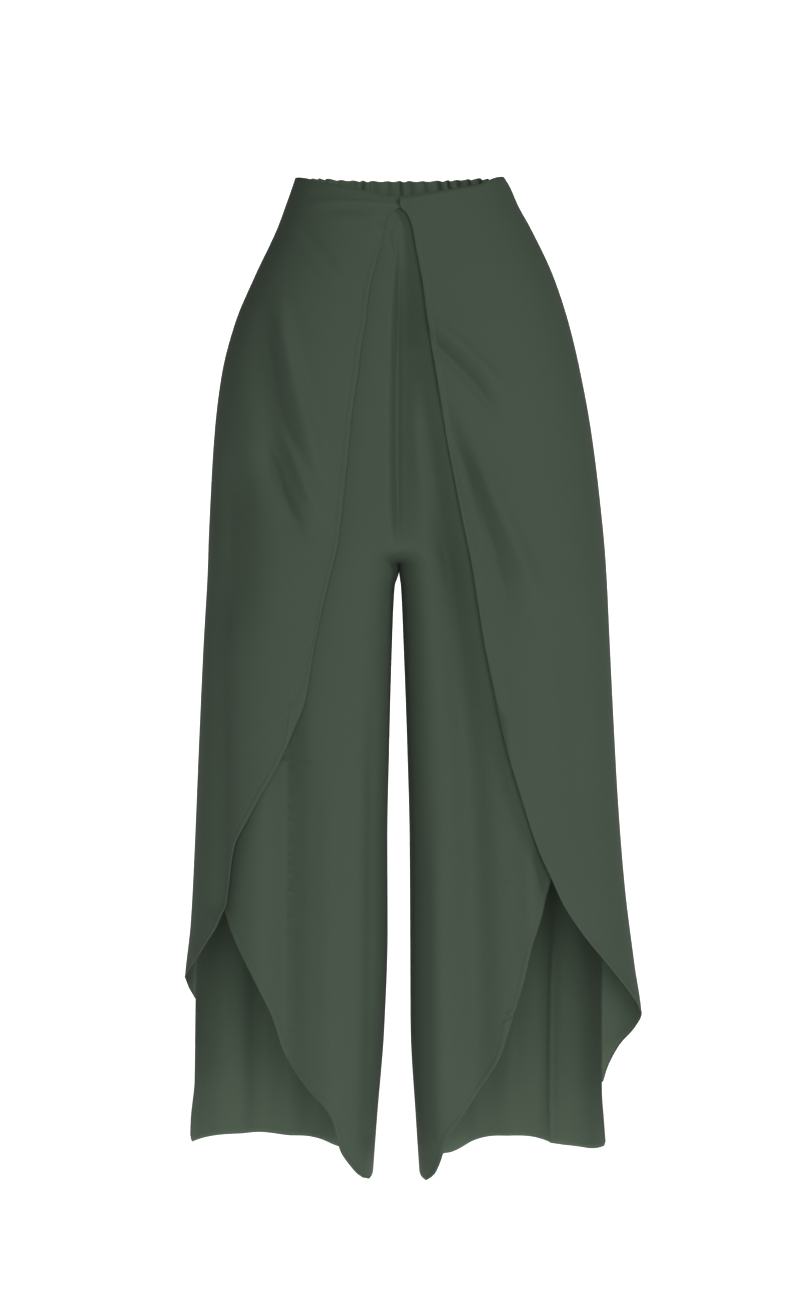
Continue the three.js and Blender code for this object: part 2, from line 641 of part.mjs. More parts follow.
// The elastic casing: a ruffled band round the back of the waist, from side seam to side seam. Its places run
// from -2 at the right seam to 2 at the left.
function waistCasing() {
  const surface = (place, v) => {
    const side = place < 0 ? "right" : "left";
    const from = Math.abs(place);
    const level = sectionOf("back", side, v);
    const z = v + riseAt(level(from).x) * levelling(v);
    const pinch = 1 - gatherPinch * (1 - Math.cos((2 * Math.PI * (v - sideTop)) / casingHeight));
    const p = pointOn(sectionOf("back", side, z), from, 2, gatherWave(shareAt(level, from)) * pinch, 1);
    return new THREE.Vector3(place === 0 ? 0 : sideSign[side] * p.x, p.y, z);
  };
  const rows = spread(sideTop, sideTop - casingHeight, 3).map((v) => {
    const half = (side) => evenPlaces(sectionOf("back", side, v), 0, 2, gathers * 3);
    const rightHalf = half("right").slice(1).map((place) => -place);
    return { v, places: [...rightHalf.reverse(), ...half("left")] };
  });
  return named("back_waist_casing", clothWall(surface, rows, casingWall, -1), colours.casing);
}

const trousers = new THREE.Group();
for (const side of ["left", "right"]) trousers.add(frontPanel(side), overlay(side), backPanel(side));
trousers.add(waistCasing());

export default trousers;
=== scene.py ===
# %% [markdown]
# # Wide-leg wrap trousers
# A pair of crepe trousers, filled out as if worn. Each leg is a front and a back panel, and over each
# front lies a petal-shaped overlay that starts at the middle of the waist. An elastic casing gathers
# the back. Every panel here is one surface, worked out on a grid and then given the thickness of
# cloth. The solid model is loaded first, and its parts are hidden where the panels take their place.

import math

import bpy
import numpy as np
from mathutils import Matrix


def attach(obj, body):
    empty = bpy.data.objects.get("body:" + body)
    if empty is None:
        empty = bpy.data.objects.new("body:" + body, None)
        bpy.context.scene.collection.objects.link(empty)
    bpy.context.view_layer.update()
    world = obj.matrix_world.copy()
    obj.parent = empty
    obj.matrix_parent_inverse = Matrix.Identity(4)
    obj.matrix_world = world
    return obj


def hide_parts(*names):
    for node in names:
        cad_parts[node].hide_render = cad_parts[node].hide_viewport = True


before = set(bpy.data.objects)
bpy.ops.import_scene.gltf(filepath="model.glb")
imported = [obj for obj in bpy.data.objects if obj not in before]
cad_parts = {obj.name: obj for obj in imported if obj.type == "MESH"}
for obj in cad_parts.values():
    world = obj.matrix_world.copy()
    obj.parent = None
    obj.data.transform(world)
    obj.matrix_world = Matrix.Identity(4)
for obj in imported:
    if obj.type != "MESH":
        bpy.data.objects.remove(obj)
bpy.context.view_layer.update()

# %% [markdown]
# The camera stands level, 3.3 m in front of the garment and at half the picture's height, because
# both sides, the waist and the hems are seen squarely. A long lens keeps the perspective gentle.
# Blender's automatic sensor fit gives the sensor's 36 mm to the picture's long side.

# %% Camera
PICTURE_HEIGHT_M = 1.4192  # how much of the middle plane the picture's height covers
CAMERA_X, CAMERA_DISTANCE, CAMERA_HEIGHT = 0.0011, 3.3, -0.4956
SENSOR_MM = 36

camera_data = bpy.data.cameras.new("level_camera")
camera_data.sensor_width = SENSOR_MM
camera_data.lens = SENSOR_MM * CAMERA_DISTANCE / PICTURE_HEIGHT_M
camera = bpy.data.objects.new("level_camera", camera_data)
camera.location = (CAMERA_X, -CAMERA_DISTANCE, CAMERA_HEIGHT)
camera.rotation_euler = (math.radians(90), 0, 0)
bpy.context.scene.collection.objects.link(camera)
bpy.context.scene.camera = camera
print("lens, mm:", round(camera_data.lens, 2))

# %% [markdown]
# The cut is kept in short tables, in millimetres, with a row for each height. A dressmaker's block
# works the same way: widths and depths at the waist, hip, crotch, knee and hem. Between the rows a
# smooth curve is drawn that never swings past the values in the table.

# %% Tables with named columns
def named_columns(names, rows):
    """Rows of numbers as named columns, sorted from the lowest height up."""
    numbers = np.array(sorted(rows), float)
    return {name: numbers[:, i] for i, name in enumerate(names.split())}


def follow(table, column, z, by="z"):
    """A column at the heights z: a cubic on each stretch, whose slope at a row is the harmonic mean of
    the slopes on its two sides, or zero at a turning point. The column to go by can be another one."""
    height, value = table[by], table[column]
    rise = np.diff(value) / np.diff(height)
    both = rise[:-1] * rise[1:]
    mean = 2 * both / np.where(rise[:-1] + rise[1:] == 0, 1, rise[:-1] + rise[1:])
    slope = np.concatenate((rise[:1], np.where(both > 0, mean, 0), rise[-1:]))
    i = np.clip(np.searchsorted(height, z, side="right") - 1, 0, len(height) - 2)
    span = height[i + 1] - height[i]
    t = np.clip((z - height[i]) / span, 0, 1)
    s = 1 - t
    ends = s * s * (1 + 2 * t) * value[i] + t * t * (3 - 2 * t) * value[i + 1]
    return ends + span * t * s * (s * slope[i] - t * slope[i + 1])


def ease(value):
    """0 below 0, 1 above 1, and 3t^2 - 2t^3 between."""
    t = np.clip(value, 0, 1)
    return t * t * (3 - 2 * t)


BODY = named_columns(
    "z front back centre left right lift corner",
    [
        (40, 85, 87, 14, 0, 0, 2.6, 2.8),
        (20, 87, 90, 16, 0, 0, 2.6, 2.8),
        (-40, 98, 106, 28, 0, 0, 4.5, 2.8),
        (-100, 107, 120, 42, 0, 0, 8, 2.8),
        (-160, 113, 130, 54, 0, 0, 10, 2.8),
        (-220, 116, 134, 64, 0, 0, 11, 2.8),
        (-300, 117, 133, 78, 0, 0, 11, 3.2),
        (-360, 118, 128, 92, 0, 0, 11, 4.4),
        (-395, 118, 125, 101, 0, 0, 11, 5),
        (-409, 118.5, 123.5, 104.5, 0, 0, 11, 5),
        (-425, 119, 122, 108, 1.9, 4.5, 11, 5),
        (-500, 120, 119, 113, 5.2, 7.8, 12, 5),
        (-600, 122, 118, 115, 8.8, 10.5, 12, 5),
        (-700, 124, 118, 116, 11.4, 12.5, 13, 4.8),
        (-800, 126, 120, 117, 12, 12.2, 14, 4.6),
        (-900, 128, 123, 118, 12.4, 15.5, 15, 4.4),
        (-1000, 130, 126, 119, 18, 23.5, 16, 4.2),
        (-1060, 131, 128, 120, 22, 28, 16, 4.2),
    ],
)
SIDES = {
    "left": named_columns(
        "z seam widest flare_y",
        [
            (40, 108, 108.5, 4),
            (20, 113.5, 114, 4),
            (8, 120.5, 121, 4),
            (-13, 129.5, 130, 6),
            (-39, 143.5, 144, 8),
            (-91, 167, 168, 12),
            (-144, 184, 185, 14),
            (-196, 196, 197, 16),
            (-257, 207, 208, 18),
            (-327, 215, 217, 18),
            (-396, 220, 223.5, 20),
            (-484, 223, 228, 22),
            (-571, 224, 232, 26),
            (-658, 224, 236.5, 30),
            (-745, 223, 243, 34),
            (-832, 222, 253.5, 38),
            (-889, 221.5, 261.2, 40),
            (-975, 221.8, 263, 40),
            (-1008, 224, 263, 40),
            (-1060, 228, 263, 40),
        ],
    ),
    "right": named_columns(
        "z seam widest flare_y",
        [
            (40, 107, 107.5, 4),
            (20, 112, 112.5, 4),
            (-13, 123, 123.5, 6),
            (-39, 132.5, 133, 8),
            (-91, 156, 157, 12),
            (-144, 178, 179, 14),
            (-196, 190.5, 192, 16),
            (-257, 198, 199.5, 18),
            (-327, 202, 204, 18),
            (-396, 205, 207, 20),
            (-484, 208.5, 211.5, 20),
            (-614, 212, 217, 22),
            (-702, 215, 220.5, 24),
            (-789, 218, 225, 24),
            (-850, 221.5, 231.6, 22),
            (-880, 222.4, 233, 22),
            (-964, 223.4, 233, 22),
            (-1008, 227.6, 233, 22),
            (-1060, 229, 233, 22),
        ],
    ),
}
waist_width = sum(float(follow(SIDES[side], "seam", 20.0)) for side in SIDES)
print("width of the waist between the side seams, mm:", round(waist_width, 1))

# %% [markdown]
# The free edges are tables too. An overlay's edge starts at the middle of the waist, sweeps down and
# outwards, turns round the outside of the leg in a petal's tip, and comes back to the side seam. The
# last number in a row says whether the edge has already gone round the widest point.

# %% The petal edges
OVERLAY_EDGE = {
    "left": named_columns(
        "z x past",
        [
            (-16, 0, 0), (-27, 1, 0), (-32, 5.5, 0), (-38, 9.5, 0), (-53, 14.3, 0), (-71, 17.6, 0),
            (-88, 21, 0), (-112, 25.2, 0), (-148, 29.8, 0), (-190, 36.5, 0), (-233, 43.5, 0),
            (-275, 50.6, 0), (-316, 58.6, 0), (-358, 66.6, 0), (-400, 75.3, 0), (-442, 82, 0),
            (-484, 88.5, 0), (-524, 96.5, 0), (-596, 112, 0), (-647, 127, 0), (-702, 145, 0),
            (-735, 160, 0), (-761, 172, 0), (-794, 194, 0), (-827, 221, 0), (-859, 246, 0),
            (-876, 257, 0), (-889, 261.2, 1), (-903, 256.5, 1), (-926, 240, 1), (-950, 228, 1),
            (-966, 223, 1),
        ],
    ),
    "right": named_columns(
        "z x past",
        [
            (-16, -7, 0), (-24, -5, 0), (-28, 1, 0), (-32, 8, 0), (-37, 11.6, 0), (-45, 14.4, 0),
            (-57, 16.8, 0), (-70, 18.8, 0), (-84, 23, 0), (-100, 27.6, 0), (-122, 31.8, 0),
            (-150, 34.8, 0), (-175, 39.4, 0), (-206, 43, 0), (-240, 48.2, 0), (-275, 52, 0),
            (-316, 56.2, 0), (-353, 60, 0), (-385, 64, 0), (-421, 73, 0), (-455, 80.8, 0),
            (-494, 89, 0), (-548, 98, 0), (-581, 111, 0),
            (-614, 126, 0), (-651, 147, 0), (-673, 159, 0), (-702, 174, 0), (-740, 182, 0),
            (-780, 190, 0), (-806, 205, 0), (-832, 222, 0), (-843, 229, 0), (-850, 231.6, 1),
            (-861, 229.5, 1), (-875, 223, 1),
        ],
    ),
}
TIP_Z = -1056
UNDER_EDGE = {
    "left": named_columns(
        "z x",
        [
            (-560, 220.4), (-595, 217), (-630, 209.5), (-665, 197.5), (-695, 182), (-725, 165),
            (-750, 156), (-776, 149), (-804, 139), (-845, 130), (-881, 119), (-922, 106),
            (-947, 91), (-980, 69), (-1003, 54), (-1031, 44), (-1047, 37), (TIP_Z, 29),
        ],
    ),
    "right": named_columns(
        "z x",
        [
            (-610, 208.2), (-655, 207), (-695, 203), (-732, 196.5), (-765, 187), (-797, 175),
            (-841, 153), (-881, 134), (-914, 123), (-940, 108), (-958, 93), (-973, 79),
            (-988, 70), (-1019, 62), (-1038, 50), (-1050, 40), (TIP_Z, 32),
        ],
    ),
}
print("petal tips at z, mm:", [float(OVERLAY_EDGE[side]["z"][0]) for side in OVERLAY_EDGE])

# %% [markdown]
# At any height a leg is a rounded tube. Half of it, from the inseam to the side seam, is drawn with
# two quarter superellipses, which are rounder than a box and fuller than an ellipse. A place along it
# runs from 0 at the inseam to 1 where the leg is deepest and 2 at the side. An overlay goes on to 3,
# because it flares past the seam and comes back. Above the crotch the inner quarter opens into the
# trunk: the farther from the crotch, the less it turns in, and that draws the curved crotch seam.

# %% A section of the garment
SEAM_Y = 6  # the side seams and inseams lie this far behind the middle, in mm
UNDER_STEP = 2.8  # an under panel lies this far inside the side seam
OUTER_POWER, BACK_POWER = 2.25, 2.8
CROSS_REACH = 20  # mm past the middle for each unit of place below 0, where an overlay crosses over
HALVINGS = 26
CROTCH_Z = -403
RISE_TOP = {"under": -360, "overlay": -345, "back": -235}


def section(layer, side, z, place):
    """x and y of a place on a layer's section at height z. Inner corner: x goes by 1 - cos^(2/n) of
    the angle and y by a superellipse of the distance from the crotch. Outer corner: sin^(2/n) and
    1 - cos^(2/n). Past place 2 a quarter ellipse leads back to the side seam."""
    facing = 1 if layer == "back" else -1
    depth = follow(BODY, "back" if layer == "back" else "front", z)
    if layer == "overlay":
        depth = depth + follow(BODY, "lift", z)
    seam_depth = facing * SEAM_Y
    centre, inner = follow(BODY, "centre", z), follow(BODY, side, z)
    seam_x = follow(SIDES[side], "seam", z) - (UNDER_STEP if layer == "under" else 0)
    outer_x = follow(SIDES[side], "widest", z) if layer == "overlay" else seam_x
    outer_depth = follow(SIDES[side], "flare_y", z) if layer == "overlay" else seam_depth
    above = np.clip((z - CROTCH_Z) / (RISE_TOP[layer] - CROTCH_Z), 0, 1)
    power = BACK_POWER if layer == "back" else follow(BODY, "corner", z)

    first = np.clip(place, 0, 1) * np.pi / 2
    across = 1 - np.cos(first) ** (2 / power)
    away = np.minimum(np.hypot(across, above), 1)
    inward = 1 - (1 - (1 - away) ** power) ** (1 / power)
    x1 = inner + (centre - inner) * across + np.minimum(place, 0) * CROSS_REACH
    y1 = depth - (depth - seam_depth) * inward

    second = np.clip(place - 1, 0, 1) * np.pi / 2
    x2 = centre + (outer_x - centre) * np.sin(second) ** (2 / OUTER_POWER)
    y2 = depth - (depth - outer_depth) * (1 - np.cos(second) ** (2 / OUTER_POWER))

    third = np.clip(place - 2, 0, 1) * np.pi / 2
    x3 = outer_x - (outer_x - seam_x) * (1 - np.cos(third))
    y3 = outer_depth - (outer_depth - seam_depth) * np.sin(third)

    x = np.where(place <= 1, x1, np.where(place <= 2, x2, x3))
    y = np.where(place <= 1, y1, np.where(place <= 2, y2, y3))
    return x, facing * y


def place_of(layer, side, z, x, past):
    """The place where a section's x reaches a value, found by halving an interval many times."""
    low = np.where(past, 2.0, 0.0)
    high = np.where(past, 3.0, 2.0)
    for _ in range(HALVINGS):
        middle = (low + high) / 2
        short = (section(layer, side, z, middle)[0] < x) != past
        low, high = np.where(short, middle, low), np.where(short, high, middle)
    start = section(layer, side, z, np.zeros_like(z))[0]
    return np.where(~past & (x < start), (x - start) / CROSS_REACH, high)


heights = np.array([20.0, -220.0, -395.0, -650.0, -1000.0])
print("leg width at five heights, mm:", np.round(follow(SIDES["left"], "seam", heights)))

# %% [markdown]
# Cloth that hangs makes long soft folds. Each fold is a line on the panel, bent like a Bezier curve,
# with a bell-shaped profile across it: the surface moves in or out most on the line and not at all a
# few widths away. Both ends fade out, because a fold that stopped dead would look stamped, unless a
# fold is open and runs off the hem. A negative depth makes a ridge in place of a trough, and a lean
# makes one flank steeper than the other. The folds along the middle front seam lie on both panels.

# %% Folds
FOLD_NAMES = ("x0", "z0", "x1", "z1", "x2", "z2", "depth", "width0", "width1", "open", "lean")
FOLD_POINTS, FOLD_FADE = 15, 0.35


def fold_depth(rows, x, z):
    """Sum over the folds of depth * fade * exp(-(distance / width)^2). The distance is to the nearest
    of a Bezier curve's short straight stretches, and fade eases in over a share of the length. A lean
    above 1 makes the fold wider by that factor on the side of larger x and narrower on the other."""
    total = np.zeros_like(x)
    for row in rows:
        f = dict(zip(FOLD_NAMES, row))
        t = np.linspace(0, 1, FOLD_POINTS)
        line = [
            (1 - t) ** 2 * f[a + "0"] + 2 * t * (1 - t) * f[a + "1"] + t * t * f[a + "2"] for a in "xz"
        ]
        nearest, along, beyond = np.full_like(x, 1e9), np.zeros_like(x), np.zeros_like(x, bool)
        for i in range(len(t) - 1):
            dx, dz = line[0][i + 1] - line[0][i], line[1][i + 1] - line[1][i]
            share = ((x - line[0][i]) * dx + (z - line[1][i]) * dz) / (dx * dx + dz * dz)
            share = np.clip(share, 0, 1)
            off = x - line[0][i] - share * dx
            distance = np.hypot(off, z - line[1][i] - share * dz)
            closer = distance < nearest
            beyond = np.where(closer, off > 0, beyond)
            nearest = np.where(closer, distance, nearest)
            along = np.where(closer, (i + share) / (len(t) - 1), along)
        lean = f.get("lean", 1)
        width = (f["width0"] + (f["width1"] - f["width0"]) * along) * np.where(beyond, lean, 1 / lean)
        fade = ease(along / FOLD_FADE) * (1 if f["open"] else ease((1 - along) / FOLD_FADE))
        total += f["depth"] * fade * np.exp(-((nearest / width) ** 2))
    return total


FOLDS = {
    "overlay_left": [
        (32, -196, 82, -350, 127, -495, 9, 9, 16, 0),
        (67, -262, 110, -352, 160, -475, -6, 9, 11, 0),
        (4, -146, 62, -188, 118, -264, 6, 5.5, 7, 0),
        (10, -132, 74, -174, 126, -242, -5, 6, 8, 0),
        (188, -420, 186, -560, 190, -760, 6, 22, 26, 0),
    ],
    "overlay_right": [
        (130, -105, 110, -215, 70, -350, -9, 9, 12, 0, 1.3),
        (152, -118, 138, -228, 102, -355, 8, 15, 17, 0, 1.35),
        (140, -226, 108, -306, 72, -372, -7, 7, 8, 0, 1.3),
        (150, -262, 128, -328, 92, -388, 7, 9, 11, 0, 1.5),
        (180, -270, 186, -370, 176, -510, 8, 17, 20, 0, 0.6),
        (200, -370, 188, -520, 190, -760, 7, 9, 12, 1),
    ],
    "front_panel_left": [
        (18, -290, 88, -490, 80, -980, 14, 15, 23, 1),
        (22, -200, 38, -340, 64, -480, 9, 8, 15, 0, 1.3),
        (42, -640, 42, -800, 46, -1010, -4, 11, 12, 1),
        (134, -620, 140, -760, 138, -900, -5, 10, 11, 0),
    ],
    "front_panel_right": [
        (116, -480, 122, -700, 118, -990, 14, 16, 21, 1),
        (74, -560, 74, -760, 72, -1000, -4, 12, 14, 1),
        (27, -480, 27, -700, 30, -1010, 4, 8, 9, 1),
    ],
    "back_panel_left": [
        (66, -330, 62, -600, 62, -1040, 12, 14, 20, 1),
        (128, -250, 130, -560, 128, -1040, 11, 14, 21, 1),
        (188, -300, 188, -600, 184, -1040, 9, 13, 18, 1),
    ],
    "back_panel_right": [
        (58, -320, 60, -600, 66, -1040, 12, 14, 20, 1),
        (118, -270, 122, -580, 126, -1040, 11, 14, 21, 1),
        (180, -310, 182, -600, 182, -1040, 9, 13, 18, 1),
    ],
}
MIDDLE_FOLDS = [
    (6, -20, -8, -220, 2, -420, 15, 9, 13, 1, 2.2),
    (0, -50, -2, -220, -1, -396, 1.5, 3, 3.5, 1),
]
print("large folds:", sum(len(rows) for rows in FOLDS.values()) + len(MIDDLE_FOLDS))

# %% [markdown]
# Finer creases come from strain: tucks that run to the middle of the waist, small puckers under the
# wrap, drag lines below the seat, and short dents in the back of a leg. They are listed one by one,
# each with its own length, depth and width, in the same kind of table as the large folds.

# %% Fine creases
CREASES = {
    "overlay_left": [
        (20, -89, 40, -95, 62, -98, 0.9, 3.5, 5, 0),
        (34, -104, 70, -112, 112, -132, 0.8, 8, 12, 0),
    ],
    "overlay_right": [
        (104, -9, 56, -13, -6, -21, 2.3, 4, 2.2, 1),
        (112, -18, 56, -19.5, -6, -24.5, -2.4, 4, 3, 1),
        (92, -26, 46, -28.5, 4, -31, 2.4, 4.2, 2.8, 1),
        (112, -36, 84, -74, 58, -106, 2.2, 6, 6, 0),
        (108, -58, 82, -88, 56, -116, -2, 6, 6, 0),
        (28, -36, 20, -40, 10, -44, 1.4, 2.6, 2.4, 0),
        (26, -47, 17, -51, 8, -54, -1.3, 3, 2.6, 0),
        (25, -58, 18, -61, 12, -63, 1.2, 3.2, 2.6, 0),
    ],
    "front_panel_left": [
        (3, -34, 4, -60, 2, -110, -0.8, 3, 3, 0),
    ],
    "front_panel_right": [
        (15, -46, 9, -64, 2, -90, 1.3, 3, 2.4, 0),
        (4, -40, 8, -52, 12, -58, 0.8, 2.4, 2.4, 0),
    ],
    "back_panel_left": [
        (14, -392, 58, -366, 122, -374, 1.6, 7, 11, 0),
        (10, -418, 66, -412, 142, -446, 1.9, 8, 12, 0),
        (24, -452, 62, -470, 104, -520, 1.3, 7, 9, 0),
        (196, -236, 168, -268, 138, -330, 1.7, 8, 11, 0),
        (88, -646, 116, -664, 152, -652, 1.4, 9, 11, 0),
        (150, -704, 118, -730, 84, -722, 1.2, 9, 10, 0),
        (40, -880, 72, -902, 108, -890, 1.1, 10, 12, 0),
        (179, -780, 172, -930, 176, -1060, 2.4, 3.6, 3.2, 1),
    ],
    "back_panel_right": [
        (12, -396, 62, -374, 116, -388, 1.8, 7, 10, 0),
        (12, -424, 58, -424, 130, -462, 1.5, 8, 11, 0),
        (184, -226, 158, -270, 132, -316, 1.5, 8, 10, 0),
        (170, -300, 150, -330, 128, -392, 1.2, 7, 9, 0),
        (72, -628, 104, -652, 146, -636, 1.6, 9, 12, 0),
        (156, -686, 120, -706, 92, -736, 1.1, 8, 10, 0),
        (138, -868, 104, -884, 70, -872, 1.2, 10, 11, 0),
    ],
}
print("fine creases:", sum(len(rows) for rows in CREASES.values()))

# %% [markdown]
# A grid of points becomes a mesh, and a Solidify modifier gives it the thickness of cloth, inwards.
# The back's normals are worked out from the grid itself: the cross product of the steps along it and
# down it. The UV map holds real lengths along the cloth in metres, so that a weave keeps its size.

# %% From a grid to cloth
MM = 0.001
CLOTH_THICKNESS = 0.9


def normals_of(points, facing):
    """The cross product of the differences along the grid's two directions, made one unit long."""
    across, down = np.gradient(points, axis=1), np.gradient(points, axis=0)
    normal = np.cross(down, across) * facing
    return normal / np.linalg.norm(normal, axis=2, keepdims=True)


def length_along(points, axis=1):
    """Length of cloth from the first point of each row, or of each column: the steps' lengths summed."""
    steps = np.diff(points, axis=axis, prepend=np.take(points, [0], axis=axis))
    return np.linalg.norm(steps, axis=2).cumsum(axis=axis)


def grid_faces(rows, columns, flip):
    """Four-cornered faces between neighbouring rows and columns, as corner numbers."""
    i = np.arange(rows - 1)[:, None] * columns + np.arange(columns - 1)[None, :]
    quads = np.stack((i, i + columns, i + columns + 1, i + 1), axis=-1).reshape(-1, 4)
    return quads[:, ::-1] if flip else quads


def cloth_piece(name, points, flip, thickness):
    """A mesh of a grid of points in mm, with its UV map in metres and a Solidify modifier."""
    rows, columns = points.shape[:2]
    faces = grid_faces(rows, columns, flip)
    mesh = bpy.data.meshes.new(name)
    mesh.vertices.add(rows * columns)
    mesh.vertices.foreach_set("co", (points * MM).reshape(-1))
    mesh.loops.add(faces.size)
    mesh.loops.foreach_set("vertex_index", faces.reshape(-1).astype(np.int32))
    mesh.polygons.add(len(faces))
    mesh.polygons.foreach_set("loop_start", np.arange(0, faces.size, 4, dtype=np.int32))
    mesh.update(calc_edges=True)
    lengths = np.stack((length_along(points), -length_along(points, axis=0)), axis=-1)
    uv = (lengths * MM).reshape(-1, 2)[faces.reshape(-1)]
    mesh.uv_layers.new(name="cloth_metres").data.foreach_set("uv", uv.reshape(-1))
    mesh.shade_smooth()
    mesh.validate()
    piece = bpy.data.objects.new(name, mesh)
    bpy.context.scene.collection.objects.link(piece)
    wall = piece.modifiers.new("thickness", "SOLIDIFY")
    wall.thickness = thickness * MM
    wall.offset = -1
    wall.material_offset = 1
    return piece


# %% [markdown]
# Every front layer starts from a plain surface. Its rows are level in the leg and tilt near the waist,
# where the front edge dips to the middle. The same surface serves the under panel and the overlay,
# which stands a little before it.

# %% Plain surfaces of the fronts
SIDE_TOP, WAIST_HALF, UNDER_DROP, LEVEL_BELOW = 20, 119, 4, -110
SIGN = {"left": 1, "right": -1}
ROW_SPACING, BAND_HALF, BAND_ROWS = 4.6, 12, 17
WAIST_DIP = named_columns(
    "x left right",
    [
        (0, -36, -36), (12, -33.5, -33.3), (25, -30.5, -29.8), (41, -27, -25.5), (58, -23.2, -21.2),
        (76, -19.2, -16.8), (97, -9, -9), (112, -3, -3.3), (WAIST_HALF, 0, 0),
    ],
)


def levelling(v):
    """1 at the top of the side seam, easing to 0 where the rows have become level."""
    return ease((v - LEVEL_BELOW) / (SIDE_TOP - LEVEL_BELOW))


def row_heights(top, bottom, extra=()):
    """Heights from top to bottom at an even spacing, with more of them near the ones in extra."""
    heights = np.linspace(top, bottom, int((top - bottom) / ROW_SPACING) + 1)
    for z in extra:
        far = heights[np.abs(heights - z) > BAND_HALF + 1]
        band = z + np.linspace(-BAND_HALF, BAND_HALF, BAND_ROWS)
        heights = np.sort(np.concatenate((far, band)))[::-1]
    return heights


def front_grid(layer, side, v, place, drop):
    """x, y, z of a front layer: z is v, lowered towards the middle near the waist, and x and y are
    the section's there."""
    fade = levelling(v)
    flat_x = section(layer, side, v - drop * fade, place)[0]
    z = v + (follow(WAIST_DIP, side, np.clip(flat_x, 0, WAIST_HALF), by="x") - drop) * fade
    x, y = section(layer, side, z, place)
    return np.stack((SIGN[side] * x, y, z), axis=-1)


EDGE_WIDTH, EDGE_SHARE, EDGE_STEPS = 12, 0.3, 11  # the close columns' width, its limit, their number
FIRST_PLACES = 90  # places along a row that its lengths are first summed at
LEG_LEVEL = -500  # an under panel's places are even in length at this height
PLACE_STEP, HEIGHT_STEP = 0.004, 0.5  # the small steps that a normal is worked out from
HEM_HEIGHT, HEM_WIDTH, HEM_ROUND = 0.4, 5.5, 2.2
GROOVE_DEPTH, GROOVE_WIDTH = 0.25, 1.3
SEAM_FADE = 0.5


def along_cloth(surface, start, end, steps, near_end):
    """Places on each row that are even in length, with closer ones in the last stretch by the free
    edge. The lengths are summed along a first set of places and read off backwards."""
    first = start + (end - start) * np.linspace(0, 1, FIRST_PLACES)[None, :]
    length = length_along(surface(first))
    whole = length[:, -1:]
    width = np.minimum(EDGE_WIDTH, whole * EDGE_SHARE)
    close = width * np.linspace(0, 1, EDGE_STEPS)[None, :-1]
    rest = width + (whole - width) * np.linspace(0, 1, steps)[None, :]
    wanted = np.concatenate((close, rest), axis=1)
    if near_end:
        wanted = (whole - wanted)[:, ::-1]
    rows = [np.interp(w, one, place) for w, one, place in zip(wanted, length, first)]
    return np.array(rows), whole - wanted if near_end else wanted


def plain_normals(surface, place, limits, facing):
    """Normals of a surface given by place and lift: the cross product of a small step down at the same
    place and a small step along the row, made one unit long."""
    beyond = surface(np.minimum(place + PLACE_STEP, limits[1]))
    before = surface(np.maximum(place - PLACE_STEP, limits[0]))
    down = surface(place, -HEIGHT_STEP) - surface(place, HEIGHT_STEP)
    normal = np.cross(down, beyond - before) * facing
    return normal / np.linalg.norm(normal, axis=2, keepdims=True)


def rolled_edge(distance):
    """Height of a narrow hem at a distance from the free edge: it rounds off over the edge, is doubled
    over its width, and has a shallow groove where it is sewn down."""
    bulge = HEM_HEIGHT * ease(distance / HEM_ROUND) * ease((HEM_WIDTH + 1 - distance) / 2)
    groove = GROOVE_DEPTH * np.exp(-(((distance - HEM_WIDTH - 0.6) / GROOVE_WIDTH) ** 2))
    return bulge - groove


def between_seams(place):
    """0 at the inseam and at the side seam, easing to 1 a quarter of the way in from each."""
    return ease(place / SEAM_FADE) * ease((2 - place) / SEAM_FADE)


# %% [markdown]
# The under panels show between the overlays as two tall petals. From the side seam their free edges
# run down to narrow tips at the inseams. The grid's columns are squeezed between the middle seam and
# that edge, so the edge is a clean line of points and needs no trimming.

# %% Under panels
UNDER_COLUMNS = 105
MIDDLE_FADE, HEM_START = 70, 40  # mm over which the middle folds end above the fork, and the hem starts


def front_panel(side):
    """Plain front surface, moved along its normals by the folds and creases, which fade at seams."""
    name = f"front_panel_{side}"
    v = row_heights(SIDE_TOP, TIP_Z, extra=[CROTCH_Z])[:, None]
    free = v <= UNDER_EDGE[side]["z"][-1]
    edge_x = follow(UNDER_EDGE[side], "x", v)
    end = np.where(free, place_of("under", side, v, edge_x, np.zeros_like(free)), 2.0)

    def plain(place, lift=0):
        return front_grid("under", side, v + lift + 0 * place, place, UNDER_DROP)

    def level(place):
        x, y = section("under", side, LEG_LEVEL + 0 * place, place)
        return np.stack((x, y, 0 * x), axis=-1)

    place, distance = along_cloth(level, 0 * v, end, UNDER_COLUMNS, near_end=True)
    points = plain(place)
    x, z = SIGN[side] * points[..., 0], points[..., 2]
    depth = fold_depth(FOLDS[name], x, z) * between_seams(place) + fold_depth(CREASES[name], x, z)
    depth += fold_depth(MIDDLE_FOLDS, points[..., 0], z) * ease((z - CROTCH_Z) / MIDDLE_FADE)
    depth -= rolled_edge(distance) * ease((UNDER_EDGE[side]["z"][-1] - z) / HEM_START)
    points = points - plain_normals(plain, place, (0, 2), SIGN[side]) * depth[..., None]
    points[..., 0] = SIGN[side] * np.maximum(SIGN[side] * points[..., 0], 0)
    return name, points, side == "right"


# %% [markdown]
# An overlay's columns start close together at its free edge and go on evenly to the side seam. At the
# top the left overlay crosses over the right one, so it stands a little farther out there, and the
# right one's edge is pressed flat and tucked in below it.

